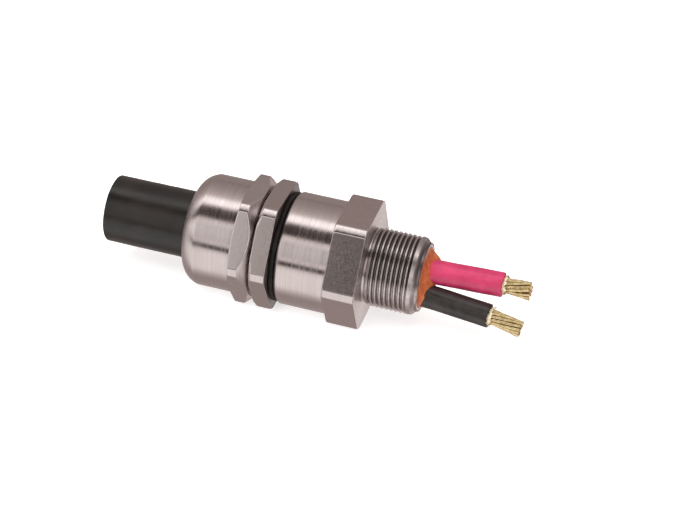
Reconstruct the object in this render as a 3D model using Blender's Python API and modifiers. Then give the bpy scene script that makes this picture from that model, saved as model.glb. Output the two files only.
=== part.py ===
"""Barrier-type cable gland, M25 x 1.5, made off on a short sample of two-core armoured cable.

The gland's axis is X, with the entry thread toward +X, and it lies on the bottom flats of its three
hexagons. Sizes below are millimetres. Stations run along the axis from the shoulder that seats on an
enclosure: plus toward the thread's end, minus toward the cable.
"""
import math

import bmesh
import bpy
from mathutils import Euler, Vector

MM = 0.001
OBJECT_NAME = "cable_gland"
GAP = 0.3                    # left between pieces that touch on the real gland
FINE_STEPS = 36              # segments round a large turned piece
CUT_OVERRUN = 2.0            # how far a cutter runs past what it cuts
SEAM_MERGE = 0.00001         # metres, closes the seam of a turned piece
WELD = 0.000005              # metres, joins points that a cut leaves together
SAME_STATION = 0.01

# The three hexagons share one size, so all three rest on their bottom flats.
HEX_ACROSS_FLATS = 37.0
HEX_CORNER_RADIUS = 20.6     # the corners are turned off to this radius
AXIS_HEIGHT = HEX_ACROSS_FLATS / 2
HEX_EDGE = 0.3               # chamfer where a hexagon's face meets its turned corners
HEX_WEB = 1.6                # how deep a hexagon ring overlaps the piece that carries it
HEX_OVERLAP = 1.05           # the same overlap on the entry body and the middle nut

# Entry body: M25 x 1.5 outside thread, big hexagon, turned barrel with a socket in its cable end.
THREAD_RADIUS = 12.42
THREAD_PITCH = 1.5
THREAD_DEPTH = 0.85
THREAD_ROOT = THREAD_RADIUS - THREAD_DEPTH
THREAD_START = 2.05
THREAD_END = 17.5
THREAD_STEPS = 20            # segments in each turn of the thread
THREAD_CHAMFER = 1.5
THREAD_END_EDGE = 0.35       # small chamfer at the thread's mouth, below its root
RUN_OUT = 0.5                # length over which the thread rises from the relief
CREST_HALF = 0.12
RIDGE_SINK = 0.15            # the thread's ridge starts this far below the root
RIDGE_FOOT_SHARE = 0.47      # half of the ridge's foot, as a share of the pitch
TRIM = 0.1                   # the ridge is made this much too high, then trimmed to size
THREAD_END_INSET = 0.15
RELIEF_DEPTH = 1.0           # the relief's bore reaches this far into the hexagon
ENTRY_BORE = 10.75
ENTRY_HEX_START = -10.3
BARREL_START = -26.5
BARREL_RADIUS = 18.05
BARREL_EDGE = 0.7
SOCKET_RADIUS = 15.9
SOCKET_FLOOR = -8.2
FLANGE_SEAT_RADIUS = 12.6
FLANGE_SEAT_FLOOR = -5.4

# Compound chamber: a tube with a sealed flange, packed with compound round the cores.
TUBE_RADIUS = 10.45
TUBE_BORE = 9.5
TUBE_END = 16.5
TUBE_FLANGE_RADIUS = 12.3
ORING_WIRE = 0.45
ORING_STEPS = 24             # segments round the ring
ORING_WIRE_STEPS = 6
GROOVE_INSET = 0.4           # width of the flange left on each side of the ring's groove
GROOVE_DEPTH = 1.2
MOUND_TOP = 21.3
MOUND_STEPS = 6
MOUND_EDGE = 0.05            # the mound stops this far inside the tube's outside
MOUND_RISE = 1.2             # powers that round the mound's outline
MOUND_ROUND = 0.8
FILL_CLEARANCE = 0.2         # the compound's step stands off the tube's end by this

# Middle nut: a spigot screwed into the entry body's socket, and a tail that the back nut screws onto.
SPIGOT_RADIUS = 15.55
SPIGOT_END = -18.5
MIDDLE_HEX_START = -34.15
MIDDLE_HEX_END = -28.65
MIDDLE_BORE = 11.4
SPIGOT_COUNTERBORE = 12.4
COUNTERBORE_FLOOR = -24.0
TAIL_RADIUS = 14.6
TAIL_START = -44.7
TAIL_EDGE = 0.6
COLLAR_RADIUS = 16.2
COLLAR_LENGTH = 0.6
MIDDLE_CHAMFER = 0.95        # along the axis, at the hexagon's cable side
MIDDLE_CHAMFER_DEPTH = 1.4

# Back nut: hexagon at its inner end, turned barrel, round dome down to the cable's mouth.
BACK_END = -35.2
BACK_HEX_START = -41.4
BACK_HEX_FULL_START = -40.6  # the hexagon has its full size between these two stations
BACK_HEX_FULL_END = -37.7
BACK_END_RADIUS = 18.1
BACK_END_CHAMFER = 0.8
BACK_RADIUS = 18.0
BACK_BORE = 14.95
BACK_SHOULDER = -52.6
MOUTH_START = -58.5
MOUTH_RADIUS = 11.3
LIP_RADIUS = 11.65
DOME_START = -53.2
DOME_BREAK = math.radians(12)  # the dome leaves the barrel at this angle, at a visible edge
DOME_POINTS = 6

# Rubber seals and the washer behind the outer one.
DELUGE_RADIUS = 17.6
DELUGE_EDGE = 0.25
OUTER_SEAL_LENGTH = 5.6
OUTER_SEAL_EDGE = 0.9

# Armoured cable sample and the two core tails.
CABLE_START = -86.0
SHEATH_RADIUS = 10.9
SHEATH_BORE = 9.85
SHEATH_END = -26.0
BEDDING_RADIUS = 8.2
BEDDING_END = -5.0
WIRE_BEND_START = -27.0      # the wires leave their lay here to meet the cone's tip
WIRE_BEND_MIDDLE = -24.0
WIRE_BEND_RISE = 0.25
WIRE_COUNT = 30
WIRE_LIFT = 0.06             # keeps the wires' facets off the cone's
WIRE_RADIUS = 0.65
WIRE_CIRCLE = 9.05
WIRE_END = -11.2
CONE_TIP = -20.5
CONE_TIP_RADIUS = 9.05
CONE_BASE = -10.3
RING_START_INSET = 0.2       # between the spigot's end and the clamp ring
RING_END_REACH = 0.1         # the clamp ring runs past the wires' end by this
CONE_CLEARANCE = 0.35        # between the cone's bore and the bedding
CONE_SLOPE = 0.33            # rise of the cone's surface for each millimetre toward the thread
CORE_TILT = math.radians(55)  # direction of the line through both cores, up from +Y
CONDUCTOR_RADIUS = 2.55
CONDUCTOR_CLEARANCE = 2.85
TAPE_RADIUS = 3.3
TAPE_LENGTH = 1.2
CORE_SPREAD_START = -3.0     # the cores leave their lay here and reach the mound's places at its mouth
CORE_SPREAD_END = 16.0
CORE_SPREAD_STEPS = 6
BARE_BEND = 1.0              # the bare conductor bends this far past the insulation

# Each core: radius, offset in the cable, offset at the mound, slope of the tail, slope of the bare
# conductor, and where the insulation and the conductor end.
RED_CORE = {"radius": 3.72, "lay": 3.82, "mouth": 2.45, "slope": 0.03, "bare_slope": -0.02,
            "insulation_end": 42.2, "conductor_end": 50.8}
BLACK_CORE = {"radius": 3.62, "lay": -3.82, "mouth": -5.15, "slope": -0.09, "bare_slope": -0.20,
              "insulation_end": 40.0, "conductor_end": 50.3}

# The sample reaches from the cable's cut end to the longer conductor's end, and X is zero halfway.
SHOULDER_X = -(CABLE_START + RED_CORE["conductor_end"]) / 2

STEEL = ("turned_steel", (0.46, 0.42, 0.40), 0.28, 1.0)
BRASS = ("plain_brass", (0.62, 0.45, 0.20), 0.35, 1.0)
GALVANISED = ("galvanised_wire", (0.50, 0.51, 0.52), 0.45, 1.0)
BLACK_RUBBER = ("black_rubber", (0.020, 0.018, 0.018), 0.60, 0.0)
SHEATH_PVC = ("black_sheath", (0.030, 0.028, 0.027), 0.42, 0.0)
GREY_BEDDING = ("grey_bedding", (0.16, 0.16, 0.16), 0.70, 0.0)
COMPOUND = ("resin_compound", (0.47, 0.13, 0.045), 0.65, 0.0)
RED_PVC = ("red_core", (0.62, 0.06, 0.13), 0.40, 0.0)
BLACK_PVC = ("black_core", (0.045, 0.038, 0.035), 0.45, 0.0)
TAPE = ("separator_tape", (0.72, 0.62, 0.44), 0.80, 0.0)
COPPER = ("stranded_conductor", (0.72, 0.55, 0.26), 0.35, 1.0)


def clear_scene():
    for old in list(bpy.data.objects):
        bpy.data.objects.remove(old, do_unlink=True)


def new_collection(name):
    collection = bpy.data.collections.new(name)
    bpy.context.scene.collection.children.link(collection)
    return collection


def material(recipe):
    name, colour, roughness, metallic = recipe
    found = bpy.data.materials.get(name)
    if found:
        return found
    made = bpy.data.materials.new(name)
    made.use_nodes = True
    made.diffuse_color = (*colour, 1.0)
    shader = made.node_tree.nodes["Principled BSDF"]
    shader.inputs["Base Color"].default_value = (*colour, 1.0)
    shader.inputs["Roughness"].default_value = roughness
    shader.inputs["Metallic"].default_value = metallic
    return made


def add_object(name, mesh, recipe, collection):
    thing = bpy.data.objects.new(name, mesh)
    collection.objects.link(thing)
    mesh.materials.clear()
    mesh.materials.append(material(recipe))
    return thing


def lay_on_axis(thing):
    """Turn a shape made round +Z so that its Z is the gland's X, and seat it on the gland's axis."""
    thing.location = (SHOULDER_X * MM, 0, AXIS_HEIGHT * MM)
    thing.rotation_euler = Euler((0, math.pi / 2, 0))


def turned(name, profile, recipe, collection, steps=FINE_STEPS):
    """A lathe shape. The profile lists (station, radius) and is closed unless it ends on the axis."""
    solid = profile[0][1] == 0
    area = sum(a[0] * b[1] - b[0] * a[1] for a, b in zip(profile, profile[1:] + profile[:1]))
    if area < 0:
        profile = profile[::-1]
    mesh = bpy.data.meshes.new(name)
    points = [(radius * MM, 0, station * MM) for station, radius in profile]
    edges = [(i, i + 1) for i in range(len(points) - 1)]
    if not solid:
        edges.append((len(points) - 1, 0))
    mesh.from_pydata(points, edges, [])
    thing = add_object(name, mesh, recipe, collection)
    screw = thing.modifiers.new("Screw", "SCREW")
    screw.steps = steps
    screw.render_steps = steps
    screw.use_merge_vertices = True
    screw.merge_threshold = SEAM_MERGE
    screw.use_smooth_shade = False
    lay_on_axis(thing)
    return thing


def as_mesh(thing, collection):
    """Swap an object and its modifiers for the plain mesh that they make."""
    graph = bpy.context.evaluated_depsgraph_get()
    mesh = bpy.data.meshes.new_from_object(thing.evaluated_get(graph))
    work = bmesh.new()
    work.from_mesh(mesh)
    bmesh.ops.remove_doubles(work, verts=work.verts, dist=WELD)
    bmesh.ops.recalc_face_normals(work, faces=work.faces)
    work.to_mesh(mesh)
    work.free()
    name = thing.name
    placed = thing.matrix_world.copy()
    bpy.data.objects.remove(thing, do_unlink=True)
    made = bpy.data.objects.new(name, mesh)
    collection.objects.link(made)
    made.matrix_world = placed
    return made


def boolean(thing, cutter, operation, solver="EXACT"):
    step = thing.modifiers.new(operation.title(), "BOOLEAN")
    step.operation = operation
    step.solver = solver
    step.object = cutter
    cutter.hide_render = True
    cutter.display_type = "WIRE"


def hexagon(name, start, end, blank, recipe, collection, guides):
    """A hexagon ring: a turned blank cut to six flats, two of them level."""
    ring = turned(name, blank, recipe, collection)
    bpy.ops.mesh.primitive_cylinder_add(vertices=6, radius=HEX_ACROSS_FLATS / math.sqrt(3) * MM,
                                        depth=(end - start + 2 * CUT_OVERRUN) * MM)
    prism = bpy.context.object
    prism.name = name + "_prism"
    for owner in list(prism.users_collection):
        owner.objects.unlink(prism)
    guides.objects.link(prism)
    middle = SHOULDER_X + (start + end) / 2
    prism.location = (middle * MM, 0, AXIS_HEIGHT * MM)
    prism.rotation_euler = Euler((0, math.pi / 2, 0))
    bpy.context.view_layer.update()
    boolean(ring, prism, "INTERSECT")
    return ring


def thread_ridge(name, recipe, guides):
    """One helical ridge of triangular section, run past both ends of the thread."""
    ridge = bmesh.new()
    foot = THREAD_ROOT - RIDGE_SINK
    half = THREAD_PITCH * RIDGE_FOOT_SHARE
    tip = THREAD_RADIUS + TRIM
    section = [(foot, -half), (tip, -CREST_HALF), (tip, CREST_HALF), (foot, half)]
    start = THREAD_START - THREAD_PITCH
    corners = [ridge.verts.new((radius * MM, 0, (start + along) * MM)) for radius, along in section]
    face = ridge.faces.new(corners)
    turns = math.ceil((THREAD_END - start) / THREAD_PITCH) + 1
    count = turns * THREAD_STEPS
    rise = Vector((0, 0, THREAD_PITCH * MM / THREAD_STEPS))
    bmesh.ops.spin(ridge, geom=[face] + list(face.edges) + corners, cent=(0, 0, 0), axis=(0, 0, 1),
                   dvec=rise, angle=turns * math.tau, steps=count, use_duplicate=False)
    loose = [edge for edge in ridge.edges if len(edge.link_faces) == 1]
    bmesh.ops.holes_fill(ridge, edges=loose, sides=len(section))
    bmesh.ops.recalc_face_normals(ridge, faces=ridge.faces)
    mesh = bpy.data.meshes.new(name)
    ridge.to_mesh(mesh)
    ridge.free()
    thing = add_object(name, mesh, recipe, guides)
    lay_on_axis(thing)
    return thing


def entry_thread(guides):
    """The ridge trimmed to the thread's length, with a run-out at the relief and a chamfered end."""
    ridge = thread_ridge("thread_ridge", STEEL, guides)
    inside = ENTRY_BORE + GAP
    below_root = THREAD_ROOT - TRIM
    last = THREAD_END - THREAD_END_INSET
    envelope = [(THREAD_START, inside), (THREAD_START, below_root),
                (THREAD_START + RUN_OUT, THREAD_RADIUS),
                (THREAD_END - THREAD_CHAMFER, THREAD_RADIUS), (last, below_root), (last, inside)]
    limits = turned("thread_limits", envelope, STEEL, guides)
    boolean(ridge, limits, "INTERSECT", "MANIFOLD")
    return ridge


def entry_body(parts, guides):
    """Thread, relief, shoulder hexagon and barrel in one piece, bored through for the chamber."""
    inside_hex = -RELIEF_DEPTH
    profile = [(THREAD_END, ENTRY_BORE), (THREAD_END, THREAD_ROOT - THREAD_END_EDGE),
               (THREAD_END - THREAD_END_EDGE, THREAD_ROOT), (inside_hex, THREAD_ROOT),
               (inside_hex, BARREL_RADIUS), (BARREL_START + BARREL_EDGE, BARREL_RADIUS),
               (BARREL_START, BARREL_RADIUS - BARREL_EDGE), (BARREL_START, SOCKET_RADIUS),
               (SOCKET_FLOOR, SOCKET_RADIUS), (SOCKET_FLOOR, FLANGE_SEAT_RADIUS),
               (FLANGE_SEAT_FLOOR, FLANGE_SEAT_RADIUS), (FLANGE_SEAT_FLOOR, ENTRY_BORE)]
    body = turned("entry_body", profile, STEEL, parts)
    edge_radius = HEX_CORNER_RADIUS - HEX_EDGE
    inner_left = BARREL_RADIUS - HEX_OVERLAP
    inner_right = THREAD_ROOT - GAP
    blank = [(0, inner_right), (0, edge_radius), (-HEX_EDGE, HEX_CORNER_RADIUS),
             (ENTRY_HEX_START + HEX_EDGE, HEX_CORNER_RADIUS), (ENTRY_HEX_START, edge_radius),
             (ENTRY_HEX_START, inner_left), (-HEX_WEB, inner_left), (-HEX_WEB, inner_right)]
    flats = hexagon("entry_flats", ENTRY_HEX_START, 0, blank, STEEL, guides, guides)
    boolean(body, flats, "UNION")
    boolean(body, entry_thread(guides), "UNION", "MANIFOLD")
    return body


def middle_nut(parts, guides):
    """Thin hexagon between the spigot that presses the clamp ring and the back nut's threaded tail."""
    profile = [(SPIGOT_END, SPIGOT_COUNTERBORE), (SPIGOT_END, SPIGOT_RADIUS),
               (MIDDLE_HEX_END - 1.0, SPIGOT_RADIUS), (MIDDLE_HEX_START + 1.0, COLLAR_RADIUS),
               (MIDDLE_HEX_START - COLLAR_LENGTH, COLLAR_RADIUS),
               (MIDDLE_HEX_START - COLLAR_LENGTH, TAIL_RADIUS),
               (TAIL_START + TAIL_EDGE, TAIL_RADIUS), (TAIL_START, TAIL_RADIUS - TAIL_EDGE),
               (TAIL_START, MIDDLE_BORE), (COUNTERBORE_FLOOR, MIDDLE_BORE),
               (COUNTERBORE_FLOOR, SPIGOT_COUNTERBORE)]
    nut = turned("middle_nut", profile, STEEL, parts)
    inner = SPIGOT_RADIUS - HEX_OVERLAP
    blank = [(MIDDLE_HEX_END, inner), (MIDDLE_HEX_END, HEX_CORNER_RADIUS - HEX_EDGE),
             (MIDDLE_HEX_END - HEX_EDGE, HEX_CORNER_RADIUS),
             (MIDDLE_HEX_START + MIDDLE_CHAMFER, HEX_CORNER_RADIUS),
             (MIDDLE_HEX_START, HEX_CORNER_RADIUS - MIDDLE_CHAMFER_DEPTH),
             (MIDDLE_HEX_START, inner)]
    flats = hexagon("middle_flats", MIDDLE_HEX_START, MIDDLE_HEX_END, blank, STEEL, guides, guides)
    boolean(nut, flats, "UNION")
    return nut


def dome_profile():
    """Arc of an ellipse from the barrel round to the mouth's lip, with an edge where it starts."""
    length = (DOME_START - MOUTH_START) / (1 - math.sin(DOME_BREAK))
    rise = (BACK_RADIUS - LIP_RADIUS) / math.cos(DOME_BREAK)
    outline = []
    for step in range(DOME_POINTS + 1):
        angle = DOME_BREAK + (math.pi / 2 - DOME_BREAK) * step / DOME_POINTS
        outline.append((MOUTH_START + length * (1 - math.sin(angle)),
                        LIP_RADIUS + rise * math.cos(angle)))
    return outline


def back_nut(parts, guides):
    """Domed nut that closes the cable end and squeezes the outer seal."""
    inner = BACK_RADIUS - HEX_WEB
    profile = [(BACK_END, BACK_BORE), (BACK_END, BACK_RADIUS - BACK_END_CHAMFER),
               (BACK_HEX_FULL_END, BACK_RADIUS)] + dome_profile() \
        + [(MOUTH_START, MOUTH_RADIUS), (BACK_SHOULDER, MOUTH_RADIUS), (BACK_SHOULDER, BACK_BORE)]
    nut = turned("back_nut", profile, STEEL, parts)
    blank = [(BACK_END, inner), (BACK_END, BACK_END_RADIUS), (BACK_HEX_FULL_END, HEX_CORNER_RADIUS),
             (BACK_HEX_FULL_START, HEX_CORNER_RADIUS), (BACK_HEX_START, BACK_RADIUS),
             (BACK_HEX_START, inner)]
    flats = hexagon("back_flats", BACK_HEX_START, BACK_END, blank, STEEL, guides, guides)
    boolean(nut, flats, "UNION")
    return nut


def deluge_seal(parts):
    inner = SPIGOT_RADIUS + GAP
    left = MIDDLE_HEX_END + GAP
    right = BARREL_START - DELUGE_EDGE
    side = DELUGE_RADIUS - DELUGE_EDGE
    profile = [(right, inner), (right, side), (right - DELUGE_EDGE, DELUGE_RADIUS),
               (left + DELUGE_EDGE, DELUGE_RADIUS), (left, side), (left, inner)]
    return turned("deluge_seal", profile, BLACK_RUBBER, parts)


def outer_seal(parts):
    right = TAIL_START - GAP
    left = right - OUTER_SEAL_LENGTH
    inner = SHEATH_RADIUS + GAP
    profile = [(right, inner), (right, TAIL_RADIUS - OUTER_SEAL_EDGE),
               (right - OUTER_SEAL_EDGE, TAIL_RADIUS), (left, TAIL_RADIUS), (left, inner)]
    return turned("outer_seal", profile, BLACK_RUBBER, parts)


def skid_washer(parts):
    right = TAIL_START - OUTER_SEAL_LENGTH - 2 * GAP
    left = BACK_SHOULDER + GAP
    profile = [(right, MIDDLE_BORE), (right, TAIL_RADIUS), (left, TAIL_RADIUS), (left, MIDDLE_BORE)]
    return turned("skid_washer", profile, STEEL, parts)


def compound_tube(parts):
    """Liner of the compound chamber, with a grooved flange that seats in the entry body."""
    flange_left = SOCKET_FLOOR + GAP
    flange_right = FLANGE_SEAT_FLOOR - GAP
    groove_left = flange_left + GROOVE_INSET
    groove_right = flange_right - GROOVE_INSET
    groove_floor = TUBE_FLANGE_RADIUS - GROOVE_DEPTH
    profile = [(TUBE_END, TUBE_BORE), (TUBE_END, TUBE_RADIUS), (flange_right, TUBE_RADIUS),
               (flange_right, TUBE_FLANGE_RADIUS), (groove_right, TUBE_FLANGE_RADIUS),
               (groove_right, groove_floor), (groove_left, groove_floor),
               (groove_left, TUBE_FLANGE_RADIUS), (flange_left, TUBE_FLANGE_RADIUS),
               (flange_left, TUBE_BORE)]
    return turned("compound_tube", profile, BRASS, parts)


def tube_oring(parts):
    """O-ring in the flange's groove."""
    middle = (SOCKET_FLOOR + FLANGE_SEAT_FLOOR) / 2
    ring_radius = TUBE_FLANGE_RADIUS - ORING_WIRE
    bpy.ops.mesh.primitive_torus_add(major_radius=ring_radius * MM, minor_radius=ORING_WIRE * MM,
                                     major_segments=ORING_STEPS,
                                     minor_segments=ORING_WIRE_STEPS)
    ring = bpy.context.object
    ring.name = "tube_oring"
    for owner in list(ring.users_collection):
        owner.objects.unlink(ring)
    parts.objects.link(ring)
    ring.data.materials.append(material(BLACK_RUBBER))
    ring.location = ((SHOULDER_X + middle) * MM, 0, AXIS_HEIGHT * MM)
    ring.rotation_euler = Euler((0, math.pi / 2, 0))
    return ring


def cone_radius(station):
    return CONE_TIP_RADIUS + CONE_SLOPE * (station - CONE_TIP)


def armour_cone(parts):
    bore = BEDDING_RADIUS + CONE_CLEARANCE
    profile = [(SOCKET_FLOOR - GAP, bore), (SOCKET_FLOOR - GAP, SPIGOT_RADIUS),
               (CONE_BASE, SPIGOT_RADIUS), (CONE_BASE, cone_radius(CONE_BASE)),
               (CONE_TIP, CONE_TIP_RADIUS), (CONE_TIP, bore)]
    return turned("armour_cone", profile, BRASS, parts)


def armour_clamp_ring(parts):
    """Ring whose taper presses the armour wires onto the cone."""
    left = SPIGOT_END + RING_START_INSET
    right = WIRE_END + RING_END_REACH
    over_wires = 2 * (WIRE_RADIUS + GAP + WIRE_LIFT)
    profile = [(right, cone_radius(right) + over_wires), (right, SPIGOT_RADIUS),
               (left, SPIGOT_RADIUS), (left, cone_radius(left) + over_wires)]
    return turned("armour_clamp_ring", profile, BRASS, parts)


def outer_sheath(parts):
    profile = [(SHEATH_END, SHEATH_BORE), (SHEATH_END, SHEATH_RADIUS),
               (CABLE_START, SHEATH_RADIUS), (CABLE_START, SHEATH_BORE)]
    return turned("outer_sheath", profile, SHEATH_PVC, parts)


def along_axis(station, offset_y, offset_z):
    return Vector((SHOULDER_X + station, offset_y, AXIS_HEIGHT + offset_z)) * MM


def tube(name, route, radius, recipe, collection, resolution):
    """A round bar along a route, as a closed mesh."""
    curve = bpy.data.curves.new(name, "CURVE")
    curve.dimensions = "3D"
    curve.bevel_depth = radius * MM
    curve.bevel_resolution = resolution
    curve.use_fill_caps = True
    line = curve.splines.new("POLY")
    line.points.add(len(route) - 1)
    for point, place in zip(line.points, route):
        point.co = (*place, 1.0)
    bar = bpy.data.objects.new(name, curve)
    collection.objects.link(bar)
    bpy.context.view_layer.update()
    bar = as_mesh(bar, collection)
    bar.data.materials.clear()
    bar.data.materials.append(material(recipe))
    return bar


def armour_wires(parts):
    """Straight lay under the sheath, then splayed up the cone."""
    lift = WIRE_RADIUS + GAP + WIRE_LIFT
    profile = [(CABLE_START, WIRE_CIRCLE), (WIRE_BEND_START, WIRE_CIRCLE),
               (WIRE_BEND_MIDDLE, WIRE_CIRCLE + WIRE_BEND_RISE),
               (CONE_TIP, cone_radius(CONE_TIP) + lift), (WIRE_END, cone_radius(WIRE_END) + lift)]
    for number in range(WIRE_COUNT):
        angle = math.tau * (number + 0.5) / WIRE_COUNT
        route = [along_axis(station, radius * math.cos(angle), radius * math.sin(angle))
                 for station, radius in profile]
        tube(f"armour_wire_{number + 1:02d}", route, WIRE_RADIUS, GALVANISED, parts, 1)


def core_offset(core, station):
    """Distance of a core's centre from the axis, along the line through both cores."""
    spread = (station - CORE_SPREAD_START) / (CORE_SPREAD_END - CORE_SPREAD_START)
    spread = min(max(spread, 0.0), 1.0)
    ease = spread * spread * (3 - 2 * spread)
    offset = core["lay"] + (core["mouth"] - core["lay"]) * ease
    offset += core["slope"] * max(station - CORE_SPREAD_END, 0.0)
    bare = station - core["insulation_end"] - BARE_BEND
    offset += (core["bare_slope"] - core["slope"]) * max(bare, 0.0)
    return offset


def core_point(core, station):
    offset = core_offset(core, station)
    return along_axis(station, offset * math.cos(CORE_TILT), offset * math.sin(CORE_TILT))


def core_route(core, start, end):
    """Points from start to end, close together only where the core bends."""
    stations = [start]
    if start < CORE_SPREAD_START:
        spread = CORE_SPREAD_END - CORE_SPREAD_START
        stations += [CORE_SPREAD_START + step * spread / CORE_SPREAD_STEPS
                     for step in range(CORE_SPREAD_STEPS + 1)]
        stations += [(CORE_SPREAD_END + core["insulation_end"]) / 2, core["insulation_end"]]
        stations += [core["insulation_end"] + BARE_BEND]
    stations = [station for station in stations if station < end - SAME_STATION] + [end]
    return [core_point(core, station) for station in stations]


def insulated_core(colour, core, recipe, parts, guides):
    """Insulation, the ragged end of its separator tape, and the bare conductor."""
    end = core["insulation_end"]
    hole_route = core_route(core, CABLE_START - CUT_OVERRUN, end + CUT_OVERRUN + TAPE_LENGTH)
    hole = tube(f"core_{colour}_hole", hole_route, CONDUCTOR_CLEARANCE, recipe, guides, 3)
    insulation = tube(f"core_{colour}_insulation", core_route(core, CABLE_START, end),
                      core["radius"], recipe, parts, 3)
    boolean(insulation, hole, "DIFFERENCE")
    tape_start = end + GAP
    tape_route = [core_point(core, tape_start), core_point(core, tape_start + TAPE_LENGTH)]
    tape = tube(f"core_{colour}_tape", tape_route, TAPE_RADIUS, TAPE, parts, 3)
    boolean(tape, hole, "DIFFERENCE")
    tube(f"core_{colour}_conductor", core_route(core, CABLE_START, core["conductor_end"]),
         CONDUCTOR_RADIUS, COPPER, parts, 3)


def core_clearance(colour, core, guides):
    route = core_route(core, CABLE_START - CUT_OVERRUN, core["insulation_end"])
    return tube(f"core_{colour}_clearance", route, core["radius"] + GAP, COMPOUND, guides, 3)


def cable_bedding(parts, clearances):
    profile = [(CABLE_START, 0), (CABLE_START, BEDDING_RADIUS), (BEDDING_END, BEDDING_RADIUS),
               (BEDDING_END, 0)]
    bedding = turned("cable_bedding", profile, GREY_BEDDING, parts)
    for clearance in clearances:
        boolean(bedding, clearance, "DIFFERENCE")


def compound_barrier(parts, clearances):
    """Compound that fills the chamber and stands proud of it as a rounded mound."""
    fill = TUBE_BORE - GAP
    brim = TUBE_RADIUS - MOUND_EDGE
    shoulder = THREAD_END + GAP
    profile = [(BEDDING_END + 1.0, 0), (BEDDING_END + 1.0, fill), (TUBE_END + FILL_CLEARANCE, fill),
               (TUBE_END + GAP, brim), (shoulder, brim)]
    for step in range(1, MOUND_STEPS + 1):
        angle = math.pi / 2 * step / MOUND_STEPS
        profile.append((shoulder + (MOUND_TOP - shoulder) * math.sin(angle) ** MOUND_RISE,
                        brim * max(math.cos(angle), 0.0) ** MOUND_ROUND
                        if step < MOUND_STEPS else 0))
    barrier = turned("compound_barrier", profile, COMPOUND, parts)
    for clearance in clearances:
        boolean(barrier, clearance, "DIFFERENCE")


def build():
    clear_scene()
    parts = new_collection(OBJECT_NAME)
    guides = new_collection("cutters")
    entry_body(parts, guides)
    compound_tube(parts)
    tube_oring(parts)
    armour_cone(parts)
    armour_clamp_ring(parts)
    deluge_seal(parts)
    middle_nut(parts, guides)
    outer_seal(parts)
    skid_washer(parts)
    back_nut(parts, guides)
    outer_sheath(parts)
    armour_wires(parts)
    clearances = [core_clearance("red", RED_CORE, guides), core_clearance("black", BLACK_CORE, guides)]
    cable_bedding(parts, clearances)
    compound_barrier(parts, clearances)
    insulated_core("red", RED_CORE, RED_PVC, parts, guides)
    insulated_core("black", BLACK_CORE, BLACK_PVC, parts, guides)
    for guide in guides.objects:
        guide.hide_render = True
        guide.display_type = "WIRE"


build()
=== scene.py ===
"""Looks for the barrier cable gland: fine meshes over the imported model, materials, light and camera.

Sizes in the shape sections are millimetres. Stations run along the gland's axis from the shoulder that
seats on an enclosure: plus toward the thread's end, minus toward the cable.
"""
import math
import random

import bmesh
import bpy
from mathutils import Matrix, Vector, noise


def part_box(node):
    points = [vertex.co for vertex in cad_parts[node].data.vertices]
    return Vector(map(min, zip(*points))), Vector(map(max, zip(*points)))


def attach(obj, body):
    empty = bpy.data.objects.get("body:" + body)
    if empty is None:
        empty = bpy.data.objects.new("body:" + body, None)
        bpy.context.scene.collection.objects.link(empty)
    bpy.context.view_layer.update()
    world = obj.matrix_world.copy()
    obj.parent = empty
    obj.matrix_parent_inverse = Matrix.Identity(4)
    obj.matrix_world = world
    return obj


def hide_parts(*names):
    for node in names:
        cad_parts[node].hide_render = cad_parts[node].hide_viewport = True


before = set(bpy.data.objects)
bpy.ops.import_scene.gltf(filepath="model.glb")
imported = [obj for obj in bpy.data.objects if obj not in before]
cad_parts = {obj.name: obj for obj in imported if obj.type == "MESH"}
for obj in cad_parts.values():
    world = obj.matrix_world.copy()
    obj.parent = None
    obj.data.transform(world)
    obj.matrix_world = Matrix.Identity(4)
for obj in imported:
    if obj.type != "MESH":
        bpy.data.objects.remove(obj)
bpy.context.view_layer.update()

MM = 0.001
THREAD_END = 17.5
ENTRY_LOW, ENTRY_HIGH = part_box("entry_body")
SHOULDER_X = ENTRY_HIGH[0] / MM - THREAD_END
AXIS_Z = (ENTRY_LOW[2] + ENTRY_HIGH[2]) / 2 / MM
CABLE_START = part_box("outer_sheath")[0][0] / MM - SHOULDER_X

HEX_APOTHEM = AXIS_Z
HEX_CORNER = (ENTRY_HIGH[1] - ENTRY_LOW[1]) / 2 / MM
EDGE = 0.20                  # rounding of machined edges
FLAT_BLEND = 0.22            # width over which a flat runs into its turned corner
CORNER_STEPS = 3             # steps along a rounded corner of an outline
CORNER_POINTS = CORNER_STEPS + 3
PITCH = 1.5                  # of every screw thread


# ---------------------------------------------------------------- shapes

def on_axis(station, radius, angle):
    return Vector((SHOULDER_X + station, radius * math.cos(angle),
                   AXIS_Z + radius * math.sin(angle))) * MM


def ramp(station, *points):
    """Straight lines between (station, radius) points, level beyond the ends."""
    if station <= points[0][0]:
        return points[0][1]
    for (a, low), (b, high) in zip(points, points[1:]):
        if station <= b:
            return low + (high - low) * (station - a) / (b - a)
    return points[-1][1]


def stations_between(start, end, count):
    return [start + (end - start) * step / count for step in range(count + 1)]


def even_angles(count):
    return [math.tau * step / count for step in range(count)]


def hex_angles():
    """Columns for a hexagon, close together where the flats meet the turned corners."""
    edge = math.degrees(math.acos(HEX_APOTHEM / HEX_CORNER))
    wide = 1.5
    fine = 0.3
    fine_count = 8
    middle_count = 34
    local = [-30 + wide * step for step in range(3)]
    local += [-edge - 1 + fine * step for step in range(fine_count)]
    local += [-edge + 1.6 + (2 * edge - 3.2) * step / middle_count for step in range(middle_count + 1)]
    local += [edge - 1.1 + fine * step for step in range(fine_count)]
    local += [edge + 1.3 + wide * step for step in range(2)]
    local = sorted(value for value in set(local) if -30 <= value < 29.5)
    return [math.radians(60 * side + 30 + value) for side in range(6) for value in local]


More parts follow.
